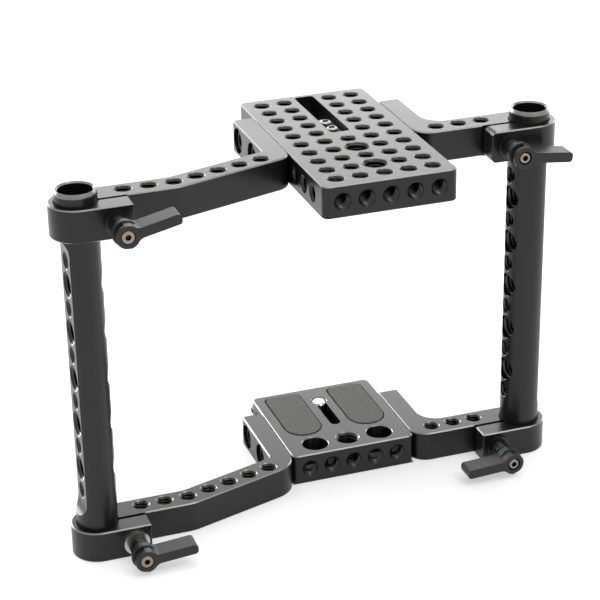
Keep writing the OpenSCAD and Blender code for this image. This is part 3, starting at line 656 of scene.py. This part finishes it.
def rim_chamfers(bm, node):
    """Sloping faces in a narrow band at the top and the bottom of a CAD node."""
    low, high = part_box(node)
    for face in bm.faces:
        z = face.calc_center_median().z
        sloping = 0.4 < abs(face.normal.z) < 0.8
        if sloping and min(z - low.z, high.z - z) < EDGE_BAND:
            yield face


def dressed_copy(node, material, limit=SOFT_EDGE, painted_edge_highlights=False, socket=None):
    """A welded copy of a CAD node with smooth shading, which stands for the node.

    Its rims can have a painted highlight of their own, or the sockets of its screws painted
    shade.
    A socket is given as the index of the screws' axis and the radius of its floor.
    """
    bm = bmesh.new()
    bm.from_mesh(NODES[node].data)
    bmesh.ops.remove_doubles(bm, verts=bm.verts, dist=WELD)
    bmesh.ops.recalc_face_normals(bm, faces=bm.faces)
    smooth_by_angle(bm, limit)
    second, marked = None, ()
    if painted_edge_highlights:
        second, marked = "cut_edge_finish", rim_chamfers(bm, node)
    elif socket:
        second, marked = "socket_finish", socket_faces(bm, *socket)
    for face in marked:
        face.material_index = 1
    piece = new_piece(bm, node + "_dressed", body_of(node), slot_of(node), material)
    if second:
        piece.data.materials.append(finishes()[second])
    even = piece.modifiers.new("even_shading", "WEIGHTED_NORMAL")
    even.keep_sharp = True
    even.weight = 90
    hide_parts(node)
    return piece


def ring_profile(bm, points):
    """A closed loop of points [radius, height] in the XZ plane, as edges to be spun."""
    verts = [bm.verts.new((r, 0.0, z)) for r, z in points]
    edges = [bm.edges.new((verts[i], verts[(i + 1) % len(verts)])) for i in range(len(verts))]
    return verts + edges


def spun_ring(points, steps):
    """A closed ring about +Z from the loop of its section."""
    bm = bmesh.new()
    loop = ring_profile(bm, points)
    bmesh.ops.spin(bm, geom=loop, cent=(0, 0, 0), axis=(0, 0, 1), dvec=(0, 0, 0),
                   angle=2 * math.pi, steps=steps, use_merge=True, use_normal_flip=False,
                   use_duplicate=False)
    bmesh.ops.remove_doubles(bm, verts=bm.verts, dist=SEAM)
    bmesh.ops.recalc_face_normals(bm, faces=bm.faces)
    return bm


def thread_section(radius, lead, depth, length):
    """Section of a threaded sleeve: a straight outer wall and a row of ridges inside."""
    turns = max(1, round(length / lead))
    lead = length / turns
    blunt = 0.12
    flat = blunt * lead
    root = radius - blunt * depth
    crest = radius - depth
    points = [(radius, 0.0), (radius, turns * lead)]
    for i in range(turns, 0, -1):
        top = i * lead
        points += [(root, top - flat),
                   (crest, top - lead / 2 + flat / 2),
                   (crest, top - lead / 2 - flat / 2),
                   (root, top - lead + flat)]
    return points


def turned_to(direction):
    """Rotation that carries +Z to a direction."""
    return Vector((0, 0, 1)).rotation_difference(Vector(direction)).to_matrix().to_4x4()


def add_threads(bm, places):
    """Adds a threaded sleeve for each place [mouth, direction outwards, radius, length]."""
    sizes = bpy.context.scene.cage_threads
    made = {}
    for mouth, direction, radius, length in places:
        large = radius > (sizes.small_radius + sizes.large_radius) / 2
        lead, steps = (sizes.large_lead, 36) if large else (sizes.small_lead, 28)
        key = (round(radius, 6), round(length, 6))
        if key not in made:
            section = thread_section(radius - sizes.wall_gap, lead, lead * sizes.depth_share,
                                     length - sizes.mouth)
            ring = spun_ring(section, steps)
            bmesh.ops.translate(ring, verts=ring.verts, vec=(0, 0, -length))
            made[key] = bpy.data.meshes.new("thread_ring")
            ring.to_mesh(made[key])
            ring.free()
        first = len(bm.verts)
        bm.from_mesh(made[key])
        bm.verts.ensure_lookup_table()
        bmesh.ops.transform(bm, verts=bm.verts[first:],
                            matrix=Matrix.Translation(mouth) @ turned_to(direction))
    for mesh in made.values():
        bpy.data.meshes.remove(mesh)


def upright_places(x, y, low, high, radius, crossing):
    """A through hole's thread, in two stretches where a level hole of a radius crosses it."""
    if not crossing:
        return [((x, y, high), (0, 0, 1), radius, high - low)]
    stretch = (high - low) / 2 - crossing
    return [((x, y, high), (0, 0, 1), radius, stretch),
            ((x, y, low), (0, 0, -1), radius, stretch)]


def threads_piece(node, places):
    """The cut threads of a CAD node's tapped holes, as one piece."""
    bm = bmesh.new()
    add_threads(bm, places)
    smooth_by_angle(bm, THREAD_EDGE)
    new_piece(bm, node + "_threads", body_of(node), slot_of(node), "cut_thread_finish")


def arc(centre, radius, start, end, steps):
    """Points on an arc in the XY plane, with angles in degrees."""
    angles = [math.radians(start + (end - start) * i / steps) for i in range(steps + 1)]
    return [(centre[0] + radius * math.cos(a), centre[1] + radius * math.sin(a)) for a in angles]


def arm_outline(sizes):
    """Front view of a lever's arm, from inside the hub's groove to the rounded tip."""
    hub = sizes.hub + sizes.overlap
    across = sizes.half_height + sizes.fillet
    along = math.sqrt((hub + sizes.fillet) ** 2 - across ** 2)
    join = math.degrees(math.atan2(across, along))
    start = math.degrees(sizes.arm_sector)
    tip_x = sizes.length - sizes.tip
    tip_y = sizes.half_height - sizes.tip
    lower = (arc((0, 0), sizes.groove - sizes.chamfer, 0, -start, steps=9)
             + arc((0, 0), hub, -start, -join, steps=10)[:-1]
             + arc((along, -across), sizes.fillet, 180 - join, 90, steps=10)
             + arc((tip_x, -tip_y), sizes.tip, -90, 0, steps=6))
    return lower + [(x, -y) for x, y in reversed(lower[1:])]


def add_arm(bm, sizes):
    """Adds a lever's arm with chamfered faces, its front at z = 0."""
    first = len(bm.edges)
    face = bm.faces.new([bm.verts.new((x, y, -sizes.depth)) for x, y in arm_outline(sizes)])
    made = bmesh.ops.extrude_face_region(bm, geom=[face])
    front = [v for v in made["geom"] if isinstance(v, bmesh.types.BMVert)]
    bmesh.ops.translate(bm, verts=front, vec=(0, 0, sizes.depth))
    bm.edges.ensure_lookup_table()
    rims = [e for e in bm.edges[first:]
            if abs(e.verts[0].co.z - e.verts[1].co.z) < sizes.overlap]
    bmesh.ops.bevel(bm, geom=rims, offset=sizes.chamfer, offset_type="OFFSET", segments=1,
                    profile=0.5, affect="EDGES", material=-1, clamp_overlap=True)


def add_teeth(bm, sizes):
    """Adds the fine teeth behind the disc, apart from the sector that the arm covers."""
    count = round(sizes.teeth * (1 - sizes.arm_sector / math.pi)) - 1
    height = 1.5 * sizes.tooth
    from_axis = sizes.hub - 0.8 * sizes.tooth
    from_front = sizes.disc + 0.6 * sizes.tooth
    made = bmesh.ops.create_cone(
        bm, cap_ends=True, segments=4, radius1=sizes.tooth, radius2=0, depth=height,
        matrix=(Matrix.Rotation(sizes.arm_sector, 4, "Z")
                @ Matrix.Translation((from_axis, 0, -from_front))
                @ Matrix.Rotation(math.pi, 4, "X")),
    )
    verts = made["verts"]
    edges = list(dict.fromkeys(e for v in verts for e in v.link_edges))
    faces = list(dict.fromkeys(f for v in verts for f in v.link_faces))
    bmesh.ops.spin(bm, geom=verts + edges + faces, cent=(0, 0, 0), axis=(0, 0, 1),
                   dvec=(0, 0, 0), angle=2 * (math.pi - sizes.arm_sector), steps=count,
                   use_merge=False, use_normal_flip=False, use_duplicate=True)


def hub_section(sizes):
    """Section of a lever's hub: toothed disc, groove, rim, skirt, bored rear and screw seat."""
    hub, groove, front = sizes.hub, sizes.groove, sizes.overlap
    seat, screw_hole, drum_bore = 0.00265, 0.00116, 0.0031
    rim, rim_shoulder, skirt, skirt_foot = 0.00492, 0.0047, 0.0041, 0.0039
    rim_front, rim_rear, slope, lip = 0.0041, 0.0051, 0.0002, 0.0001
    seat_floor, bore_floor, rear, rear_chamfer = 0.00535, 0.00615, 0.00865, 0.00025
    outside = [
        (seat, front), (hub - sizes.chamfer, front), (hub, front + sizes.chamfer),
        (hub, sizes.disc), (groove, sizes.disc + lip), (groove, rim_front - lip),
        (rim_shoulder, rim_front), (rim, rim_front + slope), (rim, rim_rear - slope),
        (rim_shoulder, rim_rear), (skirt, rim_rear + slope), (skirt, rear - rear_chamfer),
        (skirt_foot, rear),
    ]
    inside = [
        (drum_bore, rear), (drum_bore, bore_floor), (screw_hole, bore_floor),
        (screw_hole, seat_floor), (seat, seat_floor),
    ]
    return [(radius, -depth) for radius, depth in outside + inside]


def lever_piece(clamp):
    """A clamp lever in the place of its CAD node, with the arm turned as the node's is."""
    node = clamp + "_lever"
    sizes = bpy.context.scene.cage_levers
    low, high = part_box(clamp + "_clamp_screw")
    centre = Vector(((low.x + high.x) / 2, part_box(node)[0].y, (low.z + high.z) / 2))
    reach = [v.co - centre for v in NODES[node].data.vertices]
    far = [p for p in reach if math.hypot(p.x, p.z) > 0.8 * sizes.length]
    angle = math.atan2(sum(p.z for p in far), sum(p.x for p in far))
    bm = spun_ring(hub_section(sizes), steps=64)
    add_arm(bm, sizes)
    add_teeth(bm, sizes)
    bmesh.ops.remove_doubles(bm, verts=bm.verts, dist=SEAM)
    bmesh.ops.recalc_face_normals(bm, faces=bm.faces)
    bmesh.ops.transform(
        bm, verts=bm.verts,
        matrix=(Matrix.Translation(centre) @ Matrix.Rotation(math.pi / 2, 4, "X")
                @ Matrix.Rotation(angle, 4, "Z")),
    )
    smooth_by_angle(bm, SOFT_EDGE)
    piece = new_piece(bm, node + "_dressed", body_of(node), slot_of(node), "lever_paint")
    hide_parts(node)


# Operators


class CAGE_OT_frame(bpy.types.Operator):
    """Dress the plates and arms in black anodising"""

    bl_idname = "cage.frame"
    bl_label = "Plates and Arms"
    bl_options = {"REGISTER", "UNDO"}

    def execute(self, context):
        for node in ("top_plate", "bottom_plate", "top_left_arm", "top_right_arm",
                     "bottom_left_arm", "bottom_right_arm"):
            dressed_copy(node, "black_anodised_finish", painted_edge_highlights=True)
        return {"FINISHED"}


class CAGE_OT_tubes(bpy.types.Operator):
    """Dress the two drilled tubes in black anodising"""

    bl_idname = "cage.tubes"
    bl_label = "Tubes"
    bl_options = {"REGISTER", "UNDO"}

    def execute(self, context):
        for node in ("left_tube", "right_tube"):
            dressed_copy(node, "black_anodised_finish", painted_edge_highlights=True)
        return {"FINISHED"}


class CAGE_OT_plate_threads(bpy.types.Operator):
    """Cut the threads of the two plates' tapped holes"""

    bl_idname = "cage.plate_threads"
    bl_label = "Plate Threads"
    bl_options = {"REGISTER", "UNDO"}

    def execute(self, context):
        sizes = context.scene.cage_threads
        threads_piece("top_plate", self.top_places(sizes))
        threads_piece("bottom_plate", self.bottom_places(sizes))
        return {"FINISHED"}

    def top_places(self, sizes):
        """The upright grid, the row in the front and the rows in the sides."""
        pitch, small = sizes.hole_pitch, sizes.small_radius
        low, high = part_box("top_plate")
        first_row = low.y + sizes.first_row
        middle_z = (low.z + high.z) / 2
        places = []
        for column in COLUMNS:
            x = column * pitch
            for row in range(CENTRE_ROWS if column == 0 else ROWS):
                large = column == 0 and row in LARGE_ROWS
                outermost = abs(column) == COLUMNS[-1]
                crossed = row == 0 or (outermost and row <= SIDE_HOLES)
                stretches = upright_places(
                    x, first_row + row * pitch, low.z, high.z,
                    sizes.large_radius if large else small, small if crossed else 0)
                places += stretches[:1] if row == 0 else stretches
            places.append(((x, low.y, middle_z), (0, -1, 0), small, first_row - small - low.y))
        reach = high.x - COLUMNS[-1] * pitch - small
        for row in range(SIDE_HOLES):
            y = first_row + (row + 0.5) * pitch
            places += [((low.x, y, middle_z), (-1, 0, 0), small, reach),
                       ((high.x, y, middle_z), (1, 0, 0), small, reach)]
        return places

    def bottom_places(self, sizes):
        """The tripod hole, the row in the front and one hole in each side."""
        small = sizes.small_radius
        low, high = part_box("bottom_plate")
        middle_z = (low.z + high.z) / 2
        places = upright_places(0, 0, low.z, high.z, sizes.large_radius, small)
        for column in COLUMNS:
            places.append(((column * sizes.hole_pitch, low.y, middle_z), (0, -1, 0),
                           small, sizes.deck_front_depth))
        for side, x in ((-1, low.x), (1, high.x)):
            places.append(((x, sizes.deck_side_y, middle_z), (side, 0, 0),
                           small, sizes.deck_side_depth))
        return places


class CAGE_OT_arm_threads(bpy.types.Operator):
    """Cut the threads of the arms' tapped holes"""

    bl_idname = "cage.arm_threads"
    bl_label = "Arm Threads"
    bl_options = {"REGISTER", "UNDO"}

    def execute(self, context):
        sizes = context.scene.cage_threads
        pitch = sizes.hole_pitch
        along, across = pitch * math.cos(sizes.slant), pitch * math.sin(sizes.slant)
        left = [(-sizes.left_bend - i * pitch, 0) for i in range(ARM_HOLES)]
        left += [(-sizes.left_bend + i * along, i * across)
                 for i in range(1, SLANTED_HOLES + 1)]
        right = [(sizes.right_hole + i * pitch, 0) for i in range(ARM_HOLES)]
        for level in ("top", "bottom"):
            self.cut(sizes, level + "_left_arm", left)
            self.cut(sizes, level + "_right_arm", right)
        return {"FINISHED"}

    def cut(self, sizes, node, holes):
        """Threads the holes [x, distance behind the row] of an arm"""
        low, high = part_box(node)
        row_y = low.y + 2 * sizes.ring_radius - sizes.arm_row_inset
        threads_piece(node, [
            ((x, row_y + behind, high.z), (0, 0, 1), sizes.small_radius, sizes.plate)
            for x, behind in holes
        ])


class CAGE_OT_tube_threads(bpy.types.Operator):
    """Cut the threads of the tubes' cross holes"""

    bl_idname = "cage.tube_threads"
    bl_label = "Tube Threads"
    bl_options = {"REGISTER", "UNDO"}

    def execute(self, context):
        sizes = context.scene.cage_threads
        kinds = ((sizes.small_radius, sizes.small_reach), (sizes.large_radius, sizes.large_reach))
        for node, turn in (("left_tube", sizes.left_tube_turn),
                           ("right_tube", sizes.right_tube_turn)):
            low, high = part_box(node)
            x, y = self.axis_of(node, sizes.round_end)
            out = Vector((math.cos(turn), math.sin(turn), 0))
            places = []
            for i in range(TUBE_HOLES):
                radius, reach = kinds[i % 2]
                z = (low.z + high.z) / 2 + (i - (TUBE_HOLES - 1) / 2) * sizes.hole_pitch
                places.append((Vector((x, y, z)) + out * sizes.tube_flat, out,
                               radius, sizes.tube_flat + reach))
            threads_piece(node, places)
        return {"FINISHED"}

    def axis_of(self, node, round_end):
        """The middle of the tube's full round end, clear of the milled flat"""
        ends = [v.co for v in NODES[node].data.vertices if v.co.z < round_end]
        xs = [p.x for p in ends]
        ys = [p.y for p in ends]
        return (min(xs) + max(xs)) / 2, (min(ys) + max(ys)) / 2


class CAGE_OT_levers(bpy.types.Operator):
    """Build the clamp levers, each with a toothed disc and a groove round its hub"""

    bl_idname = "cage.levers"
    bl_label = "Clamp Levers"
    bl_options = {"REGISTER", "UNDO"}

    def execute(self, context):
        for clamp in CLAMPS:
            lever_piece(clamp)
        return {"FINISHED"}


class CAGE_OT_clamp_screws(bpy.types.Operator):
    """Dress the clamp screws, their washers, springs and the levers' screws"""

    bl_idname = "cage.clamp_screws"
    bl_label = "Clamp Screws"
    bl_options = {"REGISTER", "UNDO"}

    def execute(self, context):
        for clamp in CLAMPS:
            dressed_copy(clamp + "_clamp_screw", "dark_steel_finish", DRUM_EDGE)
            dressed_copy(clamp + "_lever_screw", "warm_steel_finish", socket=(1, SOCKET_RADIUS))
            spring = dressed_copy(clamp + "_lever_spring", "bare_steel_finish", COIL_EDGE)
            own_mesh(spring)
            bare = clamp == "bottom_left"
            dressed_copy(clamp + "_washer", "bare_steel_finish" if bare else "dark_steel_finish")
        return {"FINISHED"}


class CAGE_OT_deck(bpy.types.Operator):
    """Dress the grip pads, the camera screw with its washer, and the rear cap screw"""

    bl_idname = "cage.deck"
    bl_label = "Camera Deck"
    bl_options = {"REGISTER", "UNDO"}

    def execute(self, context):
        dressed_copy("left_pad", "grip_rubber_finish")
        dressed_copy("right_pad", "grip_rubber_finish")
        dressed_copy("camera_screw", "bare_steel_finish")
        dressed_copy("camera_screw_washer", "dark_steel_finish")
        dressed_copy("rear_cap_screw", "dark_steel_finish")
        return {"FINISHED"}


class CAGE_OT_shoe(bpy.types.Operator):
    """Dress the shoe carriage in the top slot"""

    bl_idname = "cage.shoe"
    bl_label = "Shoe Carriage"
    bl_options = {"REGISTER", "UNDO"}

    def execute(self, context):
        dressed_copy("shoe_clamp_bar", "black_anodised_finish")
        dressed_copy("shoe_foot", "black_anodised_finish")
        dressed_copy("shoe_screws", "shoe_steel_finish", socket=(2, SOCKET_RADIUS))
        return {"FINISHED"}


class CAGE_OT_bolts(bpy.types.Operator):
    """Dress the bolts that hold the arms to the plates"""

    bl_idname = "cage.bolts"
    bl_label = "Arm Bolts"
    bl_options = {"REGISTER", "UNDO"}

    def execute(self, context):
        dressed_copy("top_arm_bolts", "dark_steel_finish")
        dressed_copy("bottom_arm_bolts", "dark_steel_finish")
        return {"FINISHED"}


class CAGE_OT_stage(bpy.types.Operator):
    """Set up the floor, the white room, the lamps and the camera"""

    bl_idname = "cage.stage"
    bl_label = "Studio"
    bl_options = {"REGISTER", "UNDO"}

    def execute(self, context):
        stage = context.scene.cage_stage
        self.floor(context, stage)
        self.room(context, stage)
        for name, place, width, height in LAMPS:
            self.lamp(context, name + "_lamp", place, width, height,
                      getattr(stage, name + "_light"))
        self.camera(context, stage)
        context.scene.view_settings.view_transform = "Standard"
        return {"FINISHED"}

    def floor(self, context, stage):
        """One large floor, with a painted shadow on the rectangle below the bottom plate"""
        low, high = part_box("bottom_plate")
        middle = (low + high) / 2
        bm = bmesh.new()
        inner = bm.faces.new([bm.verts.new((x, y, -stage.floor_drop)) for x, y in (
            (low.x, low.y), (high.x, low.y), (high.x, high.y), (low.x, high.y))])
        inner.material_index = 1
        made = bmesh.ops.extrude_edge_only(bm, edges=list(inner.edges))
        for vert in made["geom"]:
            if isinstance(vert, bmesh.types.BMVert):
                vert.co.x = math.copysign(stage.floor_size, vert.co.x - middle.x)
                vert.co.y = math.copysign(stage.floor_size, vert.co.y - middle.y)
        for face in bm.faces:
            if face != inner:
                face.material_index = 0
        bmesh.ops.recalc_face_normals(bm, faces=bm.faces)
        mesh = bpy.data.meshes.new("studio_floor")
        bm.to_mesh(mesh)
        bm.free()
        floor = bpy.data.objects.new("studio_floor", mesh)
        context.scene.collection.objects.link(floor)
        colour = tuple(context.scene.cage_finishes.floor)
        # The second finish paints the shadow on the floor under the bottom plate
        for name, paint, glow in (
            ("studio_floor_finish", colour, stage.floor_glow),
            ("under_deck_finish", shade(colour, stage.under_deck_painted_shadow), 0),
        ):
            finish = new_finish(name)
            clouds = finish.noise(scale=3.0, detail=2.0)
            seen = finish.seen_or_reflected()
            finish.shine(**{
                "Base Color": finish.clouded(clouds, paint, darkest=0.985, lightest=1.0),
                "Roughness": 1.0,
                "Specular IOR Level": 0.0,
                "Emission Color": finish.tint(seen, (0, 0, 0), (glow, glow, glow)),
                "Emission Strength": 1.0,
            })
            mesh.materials.append(finish.owner)

    def room(self, context, stage):
        """A white room that lights the cage less than it shows"""
        context.scene.world = bpy.data.worlds.new("white_room")
        room = Recipe(context.scene.world)
        level = room.seen_or_reflected() * (1 - stage.room_light) + stage.room_light
        white = room.add("Background", values={"Color": (1, 1, 1, 1), "Strength": level})
        room.add("OutputWorld", values={"Surface": white})

    def lamp(self, context, name, place, width, height, power):
        """A rectangular lamp that looks at the cage and isn't seen by the camera"""
        light = bpy.data.lights.new(name, "AREA")
        light.shape = "RECTANGLE"
        light.size = width
        light.size_y = height
        light.energy = power
        lamp = bpy.data.objects.new(name, light)
        context.scene.collection.objects.link(lamp)
        lamp.location = place
        aim = LAMP_AIM - Vector(place)
        lamp.rotation_euler = aim.to_track_quat("-Z", "Y").to_euler()
        lamp.visible_camera = False

    def camera(self, context, stage):
        """The camera, in front of the cage, above it and to its left"""
        lens = bpy.data.cameras.new("studio_camera")
        lens.lens = stage.lens
        lens.sensor_width = SENSOR_WIDTH
        camera = bpy.data.objects.new("studio_camera", lens)
        context.scene.collection.objects.link(camera)
        camera.matrix_world = (
            Matrix.Translation(stage.camera_place)
            @ Matrix.Rotation(stage.heading, 4, "Z")
            @ Matrix.Rotation(math.pi / 2 - stage.tilt, 4, "X")
            @ Matrix.Rotation(stage.roll, 4, "Z")
        )
        context.scene.camera = camera


STEPS = (
    CAGE_OT_frame, CAGE_OT_tubes, CAGE_OT_plate_threads, CAGE_OT_arm_threads,
    CAGE_OT_tube_threads, CAGE_OT_levers, CAGE_OT_clamp_screws, CAGE_OT_deck, CAGE_OT_shoe,
    CAGE_OT_bolts, CAGE_OT_stage,
)


class CAGE_PT_panel(bpy.types.Panel):
    """Lists the cage's steps and sizes"""

    bl_label = "Camera Cage"
    bl_idname = "CAGE_PT_panel"
    bl_space_type = "VIEW_3D"
    bl_region_type = "UI"
    bl_category = "Cage"

    def draw(self, context):
        column = self.layout.column()
        for step in STEPS:
            column.operator(step.bl_idname)
        for group in ("cage_finishes", "cage_threads", "cage_levers", "cage_stage"):
            settings = getattr(context.scene, group)
            box = self.layout.box()
            for name in settings.bl_rna.properties.keys():
                if name not in ("rna_type", "name"):
                    box.prop(settings, name)


CLASSES = (CageFinishes, CageThreads, CageLevers, CageStage, *STEPS, CAGE_PT_panel)


def register():
    for item in CLASSES:
        bpy.utils.register_class(item)
    bpy.types.Scene.cage_finishes = bpy.props.PointerProperty(type=CageFinishes)
    bpy.types.Scene.cage_threads = bpy.props.PointerProperty(type=CageThreads)
    bpy.types.Scene.cage_levers = bpy.props.PointerProperty(type=CageLevers)
    bpy.types.Scene.cage_stage = bpy.props.PointerProperty(type=CageStage)


def unregister():
    del bpy.types.Scene.cage_stage
    del bpy.types.Scene.cage_levers
    del bpy.types.Scene.cage_threads
    del bpy.types.Scene.cage_finishes
    for item in reversed(CLASSES):
        bpy.utils.unregister_class(item)


def main():
    register()
    for step in STEPS:
        group, name = step.bl_idname.split(".")
        getattr(getattr(bpy.ops, group), name)()


if __name__ == "__main__":
    main()
